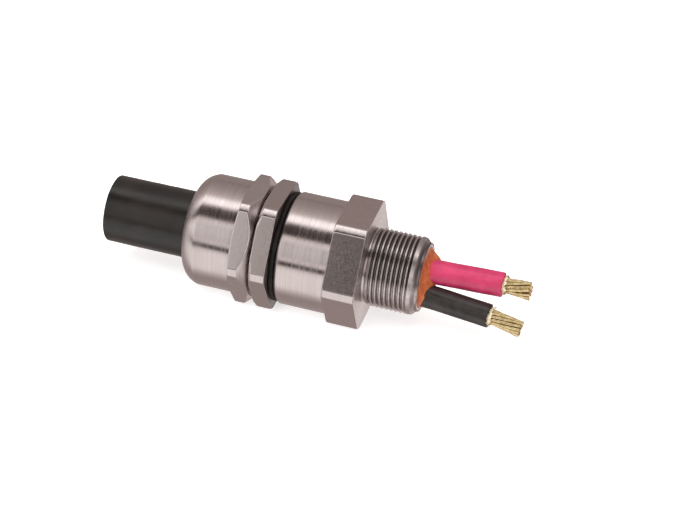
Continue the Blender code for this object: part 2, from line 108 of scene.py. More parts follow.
def mesh_object(name, points, faces, materials, smooth=True):
    mesh = bpy.data.meshes.new(name)
    mesh.from_pydata(points, [], faces)
    for item in materials:
        mesh.materials.append(item)
    if smooth:
        mesh.shade_smooth()
    thing = bpy.data.objects.new(name, mesh)
    bpy.context.scene.collection.objects.link(thing)
    return thing


def revolve(name, rings, angles, materials, place=on_axis, pick=None):
    """Skin a closed outline of rings round an axis.

    A ring is a (station, radius) pair, or a function of the angle that gives one.
    """
    points = []
    values = []
    for ring in rings:
        for angle in angles:
            station, radius = ring(angle) if callable(ring) else ring
            values.append((station, radius, angle))
            points.append(place(station, radius, angle))
    count = len(angles)
    faces = []
    for row in range(len(rings)):
        here = row * count
        there = (row + 1) % len(rings) * count
        for column in range(count):
            beside = (column + 1) % count
            faces.append((here + column, there + column, there + beside, here + beside))
    thing = mesh_object(name, points, faces, materials)
    if pick:
        for polygon in thing.data.polygons:
            polygon.material_index = pick(*values[polygon.vertices[0]])
    thing.data.validate()
    face_outward(thing)
    return thing


def face_outward(thing):
    work = bmesh.new()
    work.from_mesh(thing.data)
    bmesh.ops.remove_doubles(work, verts=work.verts, dist=0.0000005)
    bmesh.ops.recalc_face_normals(work, faces=work.faces)
    work.to_mesh(thing.data)
    work.free()


def rounded(outline, radius=EDGE):
    """Replace each corner of a closed (station, radius) outline by CORNER_POINTS on a small curve."""
    result = []
    count = len(outline)
    for index, corner in enumerate(outline):
        before = Vector(outline[index - 1])
        here = Vector(corner)
        after = Vector(outline[(index + 1) % count])
        back = before - here
        ahead = after - here
        cut = min(radius, back.length * 0.3, ahead.length * 0.3)
        start = here + back.normalized() * cut
        end = here + ahead.normalized() * cut
        result.append(tuple(start + back.normalized() * cut * 0.5))
        for step in range(CORNER_STEPS + 1):
            t = step / CORNER_STEPS
            result.append(tuple(start * (1 - t) ** 2 + here * 2 * t * (1 - t) + end * t ** 2))
        result.append(tuple(end + ahead.normalized() * cut * 0.5))
    return result


def smooth_min(a, b, blend):
    overlap = max(blend - abs(a - b), 0.0) / blend
    return min(a, b) - overlap * overlap * blend / 4


def flat_radius(angle):
    """Distance from the axis to the hexagon's flat, in the direction of angle."""
    local = math.fmod(math.degrees(angle), 60.0) - 30.0
    return HEX_APOTHEM / math.cos(math.radians(local))


def hex_rings(start, end, root_left, root_right, blank, rows):
    """Rings over a hexagon from its left face, along its outside, to its right face.

    blank(station) is the turned outline that cuts the corners off.
    """
    def outside(station, angle):
        inset = min(station - start, end - station)
        drop = 0.0
        if inset < EDGE:
            drop = EDGE - math.sqrt(max(EDGE ** 2 - (EDGE - inset) ** 2, 0.0))
        return max(smooth_min(blank(station), flat_radius(angle), FLAT_BLEND) - drop, 0.0)

    def face_ring(station, root, share):
        def shape(angle):
            rim = max(outside(station, angle), root)
            return station, root + (rim - root) * share
        return shape

    def side_ring(station):
        return lambda angle: (station, outside(station, angle))

    shares = (0, 0.03, 0.3, 0.6, 0.85, 0.95)
    rings = [face_ring(start, root_left, share) for share in shares]
    stations = [start + EDGE * share for share in (0, 0.08, 0.3, 0.65, 1, 1.6)]
    inner = end - start - 4 * EDGE
    stations += [start + 2 * EDGE + inner * step / rows for step in range(1, rows)]
    stations += [end - EDGE * share for share in (1.6, 1, 0.65, 0.3, 0.08, 0)]
    rings += [side_ring(station) for station in stations]
    rings += [face_ring(end, root_right, share) for share in reversed(shares)]
    return rings


def thread_depth(phase):
    """Depth of a sixty-degree thread as a share of its full depth, over one pitch."""
    distance = abs(phase - math.floor(phase) - 0.5) * 2
    crest = 0.24
    root = 0.14
    depth = min(max((distance - crest) / (1 - crest - root), 0.0), 1.0)
    return depth * 0.55 + depth * depth * (3 - 2 * depth) * 0.45


def thread_sleeve(name, start, end, crest, root, inner, outline, material, rows=26, plain_from=None):
    """A helical outside thread as a closed sleeve.

    outline is the (station, radius) points that limit it. Its grooves fade out before plain_from.
    """
    fade = 0.4

    def ring(station):
        def shape(angle):
            depth = thread_depth(station / PITCH - angle / math.tau)
            if plain_from is not None:
                depth *= ramp(station, (plain_from - fade, 1), (plain_from, 0))
            return station, min(crest - (crest - root) * depth, ramp(station, *outline))
        return shape

    total = int((end - start) / PITCH * rows)
    rings = [(start, inner)]
    rings += [ring(station) for station in stations_between(start, end, total)]
    rings += [(end, inner)]
    return revolve(name, rings, ROUND_COLUMNS, [material])


def wire_faces(first, rows, sides):
    """Faces of a round wire whose rings of points begin at first: its sides, then its two ends."""
    faces = []
    for row in range(rows - 1):
        for side in range(sides):
            a = first + row * sides + side
            b = first + row * sides + (side + 1) % sides
            faces.append((a, b, b + sides, a + sides))
    tip = first + (rows - 1) * sides
    faces.append(tuple(first + side for side in reversed(range(sides))))
    faces.append(tuple(tip + side for side in range(sides)))
    return faces


# ---------------------------------------------------------------- materials

class Finish:
    """A material's node tree, with short ways to add and join nodes."""

    def __init__(self, name, colour, roughness, metallic=0.0):
        self.material = bpy.data.materials.new(name)
        self.material.use_nodes = True
        self.tree = self.material.node_tree
        self.shader = self.tree.nodes["Principled BSDF"]
        self.set(self.shader, {"Base Color": (*colour, 1), "Roughness": roughness,
                               "Metallic": metallic})
        where = self.tree.nodes.new("ShaderNodeTexCoord")
        self.place = where.outputs["Object"]

    def set(self, node, values):
        for key, value in values.items():
            if isinstance(value, bpy.types.NodeSocket):
                self.tree.links.new(value, node.inputs[key])
            else:
                node.inputs[key].default_value = value

    def add(self, kind, values=None, **settings):
        node = self.tree.nodes.new("ShaderNode" + kind)
        for key, value in settings.items():
            setattr(node, key, value)
        self.set(node, values or {})
        return node

    def math(self, operation, a, b=0.0):
        node = self.add("Math", {0: a, 1: b}, operation=operation)
        return node.outputs[0]

    def scaled(self, vector, factors):
        return self.add("Mapping", {"Vector": vector, "Scale": factors}).outputs[0]

    def noise(self, vector, scale, detail=3.0, rough=0.55):
        node = self.add("TexNoise", {"Vector": vector, "Scale": scale, "Detail": detail,
                                     "Roughness": rough})
        return node.outputs["Fac"]

    def span(self, value, low, high, to_low, to_high):
        node = self.add("MapRange", {"Value": value, "From Min": low, "From Max": high,
                                     "To Min": to_low, "To Max": to_high})
        return node.outputs["Result"]

    def blend(self, factor, first, second):
        node = self.add("Mix", data_type="RGBA")
        self.set(node, {"Factor": factor})
        for socket, value in ((node.inputs[6], first), (node.inputs[7], second)):
            if isinstance(value, bpy.types.NodeSocket):
                self.tree.links.new(value, socket)
            else:
                socket.default_value = (*value, 1)
        return node.outputs[2]

    def bump(self, height, strength, distance):
        node = self.add("Bump", {"Height": height, "Strength": strength, "Distance": distance})
        return node.outputs[0]

    def axis_places(self):
        """Sockets, in metres: x along the axis, y across, height above the axis, distance from it."""
        split = self.add("SeparateXYZ", {"Vector": self.place})
        x, y, z = split.outputs
        up = self.math("SUBTRACT", z, AXIS_Z * MM)
        radius = self.math("SQRT", self.math("ADD", self.math("MULTIPLY", y, y),
                                             self.math("MULTIPLY", up, up)))
        return x, y, up, radius


def turned_metal(name, colour, roughness):
    """Lathe-turned metal: fine rings round the axis, and highlights drawn out along it."""
    finish = Finish(name, colour, roughness, 1.0)
    x, y, _, radius = finish.axis_places()
    lines = finish.add("CombineXYZ", {0: x, 1: radius, 2: finish.math("MULTIPLY", y, 0.012)})
    fine = finish.noise(lines.outputs[0], 5200, 4, 0.6)
    broad = finish.noise(lines.outputs[0], 900, 3, 0.6)
    cloud = finish.noise(finish.place, 120, 3)
    rough = finish.span(broad, 0.3, 0.7, roughness - 0.05, roughness + 0.07)
    rough = finish.math("ADD", rough, finish.span(cloud, 0.3, 0.7, -0.02, 0.03))
    dark = tuple(value * 0.86 for value in colour)
    warm = tuple(value * factor for value, factor in zip(colour, (0.9, 0.84, 0.80)))
    tone = finish.blend(finish.span(fine, 0.35, 0.65, 0, 1), dark, colour)
    stain = finish.blend(finish.span(cloud, 0.55, 0.75, 0, 0.25), tone, warm)
    height = finish.math("ADD", fine, finish.math("MULTIPLY", broad, 0.6))
    tangent = finish.add("Tangent", direction_type="RADIAL", axis="X")
    finish.set(finish.shader, {"Base Color": stain, "Roughness": rough, "Anisotropic": 0.9,
                               "Anisotropic Rotation": 0.25, "Tangent": tangent.outputs[0],
                               "Normal": finish.bump(height, 0.10, 0.00002)})
    return finish.material


def milled_metal(name, colour, roughness, blotch=0.35):
    """Hexagon flats: a soft sheen, with short brush marks and faint blotches."""
    finish = Finish(name, colour, roughness, 1.0)
    along = finish.noise(finish.scaled(finish.place, (1, 14, 14)), 420, 4, 0.65)
    across = finish.noise(finish.scaled(finish.place, (10, 1.5, 1.5)), 500, 3, 0.6)
    cloud = finish.noise(finish.place, 260, 3)
    dark = tuple(value * 0.84 for value in colour)
    mark = finish.math("ADD", finish.math("MULTIPLY", along, 0.5),
                       finish.math("MULTIPLY", across, 0.5))
    tone = finish.blend(finish.span(mark, 0.38, 0.62, 0, 1), dark, colour)
    stain = finish.blend(finish.span(cloud, 0.5, 0.72, 0, blotch), tone, dark)
    rough = finish.span(mark, 0.35, 0.65, roughness - 0.04, roughness + 0.06)
    finish.set(finish.shader, {"Base Color": stain, "Roughness": rough,
                               "Normal": finish.bump(mark, 0.10, 0.00002)})
    return finish.material


def thread_metal(name, colour):
    """Cut thread: crests in the full colour, grooves with painted shade, darker above the axis than
    below it; random darker blotches too.
    """
    finish = Finish(name, colour, 0.32, 1.0)
    _, _, up, radius = finish.axis_places()
    crest = finish.span(radius, 0.01170, 0.01240, 0, 1)
    cloud = finish.noise(finish.place, 700, 3)
    # Painted shade: dark darkens the grooves above the axis and also tones random blotches; grooves
    # lower down take the lighter painted shade.
    dark = tuple(value * 0.3 for value in colour)
    lower_groove_shade = tuple(value * 0.75 for value in colour)
    painted_groove_shade = finish.blend(finish.span(up, 0.0012, 0.0036, 0, 1), lower_groove_shade, dark)
    tone = finish.blend(crest, painted_groove_shade, colour)
    tone = finish.blend(finish.span(cloud, 0.4, 0.75, 0, 0.4), tone, dark)
    finish.set(finish.shader, {"Base Color": tone,
                               "Roughness": finish.span(cloud, 0.3, 0.7, 0.26, 0.40),
                               "Normal": finish.bump(cloud, 0.12, 0.00003)})
    return finish.material


def black_rubber(name):
    finish = Finish(name, (0.016, 0.013, 0.012), 0.55)
    grain = finish.noise(finish.place, 3500, 3)
    cloud = finish.noise(finish.place, 260, 3)
    tone = finish.blend(finish.span(cloud, 0.4, 0.7, 0, 1), (0.004, 0.003, 0.0026),
                        (0.011, 0.008, 0.007))
    finish.set(finish.shader, {"Base Color": tone,
                               "Roughness": finish.span(grain, 0.3, 0.7, 0.45, 0.7),
                               "Specular IOR Level": 0.25,
                               "Normal": finish.bump(grain, 0.25, 0.00004)})
    return finish.material


def sheath_plastic(name):
    """Extruded black sheath, drawn lines along it, scuffs and pale nicks from handling."""
    finish = Finish(name, (0.014, 0.012, 0.010), 0.36)
    lines = finish.noise(finish.scaled(finish.place, (1, 26, 26)), 90, 4)
    cloud = finish.noise(finish.place, 75, 4, 0.6)
    warm = finish.noise(finish.place, 42, 2)
    speck = finish.noise(finish.scaled(finish.place, (1, 2.6, 1)), 640, 2, 0.5)
    patch = finish.noise(finish.place, 130, 2)
    nick = finish.math("MULTIPLY", finish.span(speck, 0.75, 0.80, 0, 1),
                       finish.span(patch, 0.52, 0.62, 0, 1))
    tone = finish.blend(finish.span(cloud, 0.35, 0.7, 0, 1), (0.0025, 0.0021, 0.0018),
                        (0.006, 0.0053, 0.0046))
    tone = finish.blend(finish.span(warm, 0.5, 0.7, 0, 0.5), tone, (0.022, 0.014, 0.010))
    tone = finish.blend(finish.math("MULTIPLY", nick, 0.6), tone, (0.26, 0.25, 0.23))
    height = finish.math("ADD", finish.math("MULTIPLY", lines, 0.7), cloud)
    height = finish.math("SUBTRACT", height, finish.math("MULTIPLY", nick, 0.6))
    finish.set(finish.shader, {"Base Color": tone,
                               "Roughness": finish.span(cloud, 0.3, 0.7, 0.24, 0.38),
                               "Specular IOR Level": 0.5,
                               "Normal": finish.bump(height, 0.30, 0.00012)})
    return finish.material


def compound_resin(name):
    """Hand-pressed putty: terracotta, uneven, with fine grain and darker smears."""
    finish = Finish(name, (0.50, 0.12, 0.035), 0.6)
    grain = finish.noise(finish.place, 2600, 4, 0.65)
    lump = finish.noise(finish.place, 330, 4, 0.55)
    tone = finish.blend(finish.span(lump, 0.34, 0.68, 0, 1), (0.36, 0.072, 0.022),
                        (0.60, 0.165, 0.048))
    tone = finish.blend(finish.span(grain, 0.55, 0.8, 0, 0.5), tone, (0.66, 0.24, 0.09))
    height = finish.math("ADD", lump, finish.math("MULTIPLY", grain, 0.35))
    finish.set(finish.shader, {"Base Color": tone,
                               "Roughness": finish.span(grain, 0.3, 0.7, 0.48, 0.72),
                               "Subsurface Weight": 0.06, "Subsurface Radius": (0.002, 0.0008, 0.0004),
                               "Normal": finish.bump(height, 0.5, 0.00025)})
    return finish.material


def core_plastic(name, dark, light, smear, smear_end):
    """Extruded core insulation. The compound's smear covers it from the cable as far as smear_end."""
    finish = Finish(name, light, 0.34)
    lines = finish.noise(finish.scaled(finish.place, (1, 30, 30)), 120, 3)
    cloud = finish.noise(finish.place, 230, 3)
    foot = finish.noise(finish.place, 700, 3)
    split = finish.add("SeparateXYZ", {"Vector": finish.place})
    edge = (SHOULDER_X + smear_end) * MM
    reach = finish.math("ADD", split.outputs[0], finish.span(foot, 0.3, 0.7, -0.0012, 0.0012))
    smeared = finish.span(reach, edge - 0.0022, edge + 0.0006, 1, 0)
    tone = finish.blend(finish.span(cloud, 0.35, 0.7, 0, 1), dark, light)
    tone = finish.blend(smeared, tone, smear)
    rough = finish.span(cloud, 0.3, 0.7, 0.28, 0.42)
    rough = finish.math("ADD", rough, finish.math("MULTIPLY", smeared, 0.2))
    height = finish.math("ADD", lines, cloud)
    finish.set(finish.shader, {"Base Color": tone, "Roughness": rough,
                               "Normal": finish.bump(height, 0.22, 0.00008)})
    return finish.material


def wire_metal(name, colour, tarnish, roughness):
    finish = Finish(name, colour, roughness, 1.0)
    cloud = finish.noise(finish.place, 900, 3)
    streak = finish.noise(finish.scaled(finish.place, (1, 9, 9)), 700, 3)
    tone = finish.blend(finish.span(cloud, 0.4, 0.7, 0, 0.8), colour, tarnish)
    rough = finish.span(streak, 0.3, 0.7, roughness - 0.07, roughness + 0.1)
    finish.set(finish.shader, {"Base Color": tone, "Roughness": rough,
                               "Normal": finish.bump(streak, 0.2, 0.00003)})
    return finish.material


def soft_plastic(name, colour, shade, roughness, scale=900):
    finish = Finish(name, colour, roughness)
    cloud = finish.noise(finish.place, scale, 4)
    tone = finish.blend(finish.span(cloud, 0.35, 0.7, 0, 1), colour, shade)
    rough = finish.span(cloud, 0.3, 0.7, roughness - 0.08, roughness + 0.08)
    finish.set(finish.shader, {"Base Color": tone, "Roughness": rough,
                               "Normal": finish.bump(cloud, 0.3, 0.00006)})
    return finish.material


STEEL = (0.62, 0.555, 0.54)
TURNED = turned_metal("turned_steel_rings", STEEL, 0.26)
FLATS = milled_metal("milled_steel_flats", (0.57, 0.505, 0.485), 0.20)
# Painted shade: a darker copy of the flats' material, for the entry body's flat toward the viewer.
FRONT_FLATS_PAINTED_SHADE = milled_metal("front_flats_painted_shade", (0.38, 0.33, 0.315), 0.20, 0.8)
# Painted light: a lighter copy of the flats' material, for the entry body's other five flats.
SIDE_FLATS_PAINTED_LIGHT = milled_metal("side_flats_painted_light", (0.60, 0.515, 0.50), 0.20)
# Painted light: a lighter copy of the flats' material, for the back nut's flats.
BACK_FLATS_PAINTED_LIGHT = milled_metal("back_flats_painted_light", (0.62, 0.56, 0.54), 0.22)
# Painted shade: a dark copy of the turned steel, for the middle nut's face toward the seal.
SHADED = turned_metal("turned_face_painted_shade", (0.17, 0.145, 0.135), 0.42)
THREAD = thread_metal("cut_steel_thread", STEEL)
BRASS = turned_metal("turned_brass", (0.66, 0.47, 0.22), 0.3)
RUBBER = black_rubber("black_seal_rubber")
SHEATH = sheath_plastic("scuffed_black_sheath")
BEDDING = soft_plastic("grey_extruded_bedding", (0.13, 0.13, 0.13), (0.19, 0.185, 0.18), 0.7)
COMPOUND = compound_resin("pressed_orange_compound")
RED_CORE = core_plastic("red_core_insulation", (0.38, 0.022, 0.076), (0.53, 0.035, 0.118),
                        (0.60, 0.045, 0.07), 19.5)
BLACK_CORE = core_plastic("black_core_insulation", (0.012, 0.010, 0.009), (0.030, 0.025, 0.022),
                          (0.16, 0.04, 0.02), 18.6)
TAPE = soft_plastic("torn_separator_film", (0.80, 0.70, 0.50), (0.52, 0.42, 0.24), 0.55, 1800)
STRAND = wire_metal("drawn_strand", (0.86, 0.72, 0.42), (0.52, 0.36, 0.14), 0.26)
STRAND_END = wire_metal("cut_strand_end", (0.92, 0.58, 0.42), (0.80, 0.48, 0.32), 0.4)
ARMOUR = wire_metal("galvanised_armour_wire", (0.56, 0.57, 0.58), (0.38, 0.38, 0.39), 0.38)


# ---------------------------------------------------------------- metal parts

BARREL_RADIUS = 18.05
HEX_COLUMNS = hex_angles()
ROUND_COLUMNS = even_angles(144)


def is_flat(blank, start, end):
    """Material slot 1 where a hexagon's flat, not its turned blank, makes the surface."""
    def choose(station, radius, angle):
        if not start + 0.02 < station < end - 0.02:
            return 0
        below_blank = flat_radius(angle) < blank(station) - 0.05
        return 1 if below_blank and radius > HEX_APOTHEM - 0.3 else 0
    return choose


def entry_body():
    hex_start = -10.3
    bevel = 0.3
    barrel_start = -26.5
    bore = 10.8
    seat = 12.6
    socket = 15.9

    def blank(station):
        return ramp(station, (hex_start, HEX_CORNER - bevel), (hex_start + bevel, HEX_CORNER),
                    (-bevel, HEX_CORNER), (0, HEX_CORNER - bevel))

    barrel = rounded([(barrel_start, socket), (barrel_start, 17.4), (-25.8, BARREL_RADIUS),
                      (-10.4, BARREL_RADIUS)])
    rings = barrel[CORNER_POINTS:-CORNER_POINTS]
    rings += [(station, BARREL_RADIUS) for station in (-22, -18, -14, -11, -10.4)]
    rings += hex_rings(hex_start, 0, BARREL_RADIUS, 11.7, blank, 24)
    rings += [(0.08, 11.62), (1.4, 11.6), (1.4, bore), (-5.4, bore), (-5.4, seat), (-8.2, seat),
              (-8.2, socket), (-16, socket), (-26.4, socket)]
    flat = is_flat(blank, hex_start, 0)

    def entry_finish(station, radius, angle):
        """The flat toward the viewer takes a darker copy of the flats' material, painted shade; the
        other five take a lighter copy, painted light.
        """
        if not flat(station, radius, angle):
            return 0
        return 1 if 120 < math.degrees(angle) % 360 < 180 else 2

    body = revolve("entry_body_fine", rings, HEX_COLUMNS, [TURNED, FRONT_FLATS_PAINTED_SHADE, SIDE_FLATS_PAINTED_LIGHT],
                   pick=entry_finish)
    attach(body, "root")
    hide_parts("entry_body")

    crest = 12.42
    thread_outline = ((0.6, 12.1), (1.9, 12.1), (2.2, crest), (14.3, crest), (15.6, 12.25),
                      (16.5, 11.35), (16.6, 11.05), (16.8, 11.1), (17.2, 11.0), (17.45, 10.85))
    thread = thread_sleeve("entry_thread", 0.7, THREAD_END, crest, 11.50, 10.78, thread_outline,
                           THREAD, plain_from=14.4)
    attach(thread, "root")

    lip_outline = [(16.5, 9.7), (17.3, 9.7), (17.4, 9.78), (17.45, 9.95), (17.45, 10.4),
                   (17.38, 10.55), (17.2, 10.62), (16.5, 10.62)]
    lip = revolve("chamber_mouth_lip", lip_outline, ROUND_COLUMNS, [TURNED])
    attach(lip, "root")


def middle_nut():
    start = -34.15
    end = -28.65
    tail_start = -44.7
    tail = 13.7
    collar = 16.2
    bore = 11.4
    spigot_end = -18.5
    spigot = 14.75
    spigot_bore = 12.4

    def blank(station):
        return ramp(station, (start, HEX_CORNER - 1.35), (start + 0.95, HEX_CORNER),
                    (end - 0.2, HEX_CORNER), (end, HEX_CORNER - 0.2))

    rings = [(tail_start, bore), (tail_start, tail - 0.2), (tail_start + 0.2, tail), (-40, tail),
             (-34.9, tail), (-34.8, 14.0), (-34.75, 15.8), (-34.68, 16.1), (-34.55, collar),
             (-34.3, collar), (start - 0.04, collar)]
    rings += hex_rings(start, end, collar, 14.8, blank, 22)
    rings += [(-28.2, spigot), (-22, spigot), (spigot_end, spigot), (spigot_end, spigot_bore),
              (-24, spigot_bore), (-24, bore), (-36, bore)]
    flat = is_flat(blank, start, end)

    def nut_finish(station, radius, angle):
        """The face turned toward the seal takes painted shade, a dark copy of the turned steel, for the
        narrow gap that hides it.
        """
        if station > end - 0.03 and radius > 15.6:
            return 2
        return flat(station, radius, angle)

    nut = revolve("middle_nut_fine", rings, HEX_COLUMNS, [TURNED, FLATS, SHADED], pick=nut_finish)
    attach(nut, "middle_nut")
    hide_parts("middle_nut")

    spigot_crest = 15.55
    spigot_outline = ((-27.6, 14.9), (-26.9, spigot_crest), (-19.2, spigot_crest), (spigot_end, 14.95))
    spigot_thread = thread_sleeve("spigot_thread", -27.6, spigot_end, spigot_crest, spigot, 14.4,
                                  spigot_outline, TURNED, rows=16)
    tail_crest = 14.6
    tail_outline = ((tail_start, 14.0), (-44.1, tail_crest), (-35.9, tail_crest), (-35.0, 13.9))
    tail_thread = thread_sleeve("tail_thread", tail_start, -35.0, tail_crest, 13.75, 13.4,
                                tail_outline, TURNED, rows=16)
    for sleeve in (spigot_thread, tail_thread):
        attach(sleeve, "middle_nut")


def back_nut():
    start = -41.4
    full_start = -40.6
    full_end = -37.7
    end = -35.2
    barrel = 18.0
    mouth = -58.5
    mouth_radius = 11.3
    bore = 14.95
    lip = 11.65
    dome_start = -53.2
    dome_break = math.radians(12)
    dome_steps = 26

    def blank(station):
        return ramp(station, (start, barrel), (full_start, HEX_CORNER), (full_end, HEX_CORNER),
                    (end, 18.1))

    length = (dome_start - mouth) / (1 - math.sin(dome_break))
    rise = (barrel - lip) / math.cos(dome_break)
    rings = [(mouth, mouth_radius)]
    for step in range(dome_steps, -1, -1):
        angle = dome_break + (math.pi / 2 - dome_break) * step / dome_steps
        rings.append((mouth + length * (1 - math.sin(angle)), lip + rise * math.cos(angle)))
    rings += [(dome_start + 0.06, barrel), (dome_start + 0.3, barrel), (-50, barrel), (-46, barrel),
              (-43, barrel), (start - 0.05, barrel)]
    rings += hex_rings(start, end, barrel - 0.01, 15.3, blank, 34)
    rings += [(end, 15.25), (-35.6, bore), (-40, bore), (-52.6, bore), (-52.6, mouth_radius),
              (-56, mouth_radius)]
    # The back nut's flats take the lighter copy, painted light.
    nut = revolve("back_nut_fine", rings, HEX_COLUMNS, [TURNED, BACK_FLATS_PAINTED_LIGHT],
                  pick=is_flat(blank, start, end))
    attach(nut, "back_nut")
    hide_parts("back_nut")


def deluge_seal():
    """Rubber ring with a slightly wavy outside."""
    inner = 15.9
    outline = [(-26.78, inner), (-26.78, 17.3), (-27.0, 17.58), (-27.55, 17.66), (-28.1, 17.58),
               (-28.3, 17.3), (-28.3, inner)]

    def ring(station, radius):
        def shape(angle):
            wave = 0.05 * noise.noise(Vector((3 * math.cos(angle), 3 * math.sin(angle), station)))
            return station, radius + (wave if radius > 17 else 0)
        return shape

    rings = [ring(*point) for point in rounded(outline, 0.15)]
    seal = revolve("deluge_seal_fine", rings, ROUND_COLUMNS, [RUBBER])
    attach(seal, "clamp_ring_slide")
    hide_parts("deluge_seal")


# ---------------------------------------------------------------- cable

SHEATH_RADIUS = 10.9
SHEATH_BORE = 9.85
WIRE_COUNT = 30              # armour wires under the sheath


def outer_sheath():
    """The sheath, very slightly uneven, with a soft cut edge."""
    def outside(station):
        def shape(angle):
            spot = Vector((station * 0.05, math.cos(angle) * 0.8, math.sin(angle) * 0.8))
            ripple = Vector((station * 0.28, math.cos(angle) * 2.6, math.sin(angle) * 2.6))
            uneven = 0.12 * noise.noise(spot) + 0.05 * noise.noise(ripple)
            return station, SHEATH_RADIUS - 0.10 + uneven
        return shape

    def cut(station, radius):
        def shape(angle):
            jag = 0.06 * noise.noise(Vector((math.cos(angle) * 3, math.sin(angle) * 3, radius)))
            return station + jag + 0.06, radius
        return shape

    rings = [cut(CABLE_START, SHEATH_BORE), cut(CABLE_START, 10.2), cut(CABLE_START, 10.6),
             cut(CABLE_START + 0.06, 10.75)]
    end = -26.0
    rings += [outside(station) for station in stations_between(CABLE_START + 0.3, end, 90)]
    rings += [(end, SHEATH_BORE), (-60, SHEATH_BORE)]
    sheath = revolve("outer_sheath_fine", rings, ROUND_COLUMNS, [SHEATH])
    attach(sheath, "root")
    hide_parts("outer_sheath")


CORE_TILT = math.radians(55)
SPREAD_START = -3.0
SPREAD_END = 16.0
RED = {"radius": 3.72, "swell": 0.26, "lay": 3.82, "mouth": 2.25, "slope": 0.03, "bare_slope": -0.02,
       "insulation_end": 42.2, "conductor_end": 50.8}
BLACK = {"radius": 3.62, "swell": 0.2, "lay": -3.82, "mouth": -5.15, "slope": -0.09, "bare_slope": -0.20,
         "insulation_end": 40.0, "conductor_end": 50.3}
ACROSS = Vector((0, math.cos(CORE_TILT), math.sin(CORE_TILT)))


def core_offset(core, station):
    """Distance of a core's centre from the axis, along the line through both cores."""
    spread = min(max((station - SPREAD_START) / (SPREAD_END - SPREAD_START), 0.0), 1.0)
    ease = spread * spread * (3 - 2 * spread)
    offset = core["lay"] + (core["mouth"] - core["lay"]) * ease
    offset += core["slope"] * max(station - SPREAD_END, 0.0)
    offset += (core["bare_slope"] - core["slope"]) * max(station - core["insulation_end"] - 1.0, 0.0)
    return offset


def along_core(core):
    """A placing function for revolve that follows a core instead of the gland's axis."""
    def place(station, radius, angle):
        step = 0.5
        centre = core_offset(core, station)
        slope = (core_offset(core, station + step) - core_offset(core, station - step)) / (2 * step)
        forward = (Vector((1, 0, 0)) + ACROSS * slope).normalized()
        side = Vector((1, 0, 0)).cross(ACROSS)
        upward = side.cross(forward)
        middle = Vector((SHOULDER_X + station, 0, AXIS_Z)) + ACROSS * centre
        return (middle + (side * math.cos(angle) + upward * math.sin(angle)) * radius) * MM
    return place


def insulation_radius(core, station):
    """The insulation is a little fuller outside the compound, where nothing presses on it."""
    share = min(max((station - 12) / 8, 0.0), 1.0)
    return core["radius"] - 0.06 + core["swell"] * share * share * (3 - 2 * share)


def insulation(colour, core, material, seed):
    """Insulation with a hand-cut end, slightly flattened and dented."""
    end = core["insulation_end"]
    full = insulation_radius(core, end)

    def outside(station):
        def shape(angle):
            spot = Vector((station * 0.10, math.cos(angle) * 0.9, math.sin(angle) * 0.9 + seed))
            crease = Vector((station * 0.03, math.cos(angle) * 2.6, math.sin(angle) * 2.6 + seed))
            dent = 0.09 * noise.noise(spot) + 0.06 * noise.noise(crease)
            return station, insulation_radius(core, station) + dent
        return shape

    def cut_edge(depth, radius):
        def shape(angle):
            around = Vector((math.cos(angle) * 1.7, math.sin(angle) * 1.7, seed))
            fine = Vector((math.cos(angle) * 5, math.sin(angle) * 5, seed + 4))
            return end - 0.45 + 0.6 * noise.noise(around) + 0.45 * noise.noise(fine) - depth, radius
        return shape

    bore = 2.75
    rings = [(CABLE_START + 0.1, bore), (CABLE_START + 0.1, core["radius"] - 0.1)]
    rings += [outside(station) for station in stations_between(CABLE_START + 0.3, 14, 30)]
    rings += [outside(station) for station in stations_between(14.6, end - 1.8, 60)]
    rings += [cut_edge(0.5, full), cut_edge(0.12, full - 0.03), cut_edge(0.0, full - 0.2),
              cut_edge(0.05, 3.3), cut_edge(0.15, 2.9), cut_edge(0.9, bore), (end - 4, bore)]
    piece = revolve(f"core_{colour}_insulation_fine", rings, even_angles(72), [material],
                    place=along_core(core))
    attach(piece, "root")
    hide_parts(f"core_{colour}_insulation")


def torn_film(colour, core, seed):
    """Pale separator film that sticks out of the insulation in a torn, curled edge."""
    end = core["insulation_end"]

    def lip(depth, radius, jag):
        def shape(angle):
            teeth = noise.noise(Vector((math.cos(angle) * 4.2, math.sin(angle) * 4.2, seed)))
            fine = noise.noise(Vector((math.cos(angle) * 11, math.sin(angle) * 11, seed + 2)))
            curl = noise.noise(Vector((math.cos(angle) * 2.2, math.sin(angle) * 2.2, seed + 9)))
            reach = depth + jag * (1.3 * teeth + 0.7 * fine)
            return end + reach, radius + 0.25 * curl
        return shape

    rings = [(end - 3, 2.62), (end - 3, 2.72), (end - 1.6, 2.74), lip(-0.7, 2.84, 0.1),
             lip(0.1, 3.06, 0.4), lip(0.5, 3.2, 0.8), lip(0.54, 3.12, 0.8), lip(0.12, 2.96, 0.4),
             lip(-0.7, 2.7, 0.1)]
    film = revolve(f"core_{colour}_film", rings, ROUND_COLUMNS, [TAPE], place=along_core(core))
    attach(film, "root")
    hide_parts(f"core_{colour}_tape")


def strand_layers():
    """Centre wire, six round it and twelve round those: (distance from centre, angle)."""
    layers = [(0.0, 0.0)]
    layers += [(1.0, math.tau * step / 6) for step in range(6)]
    layers += [(1.98, math.tau * step / 12 + 0.13) for step in range(12)]
    return layers


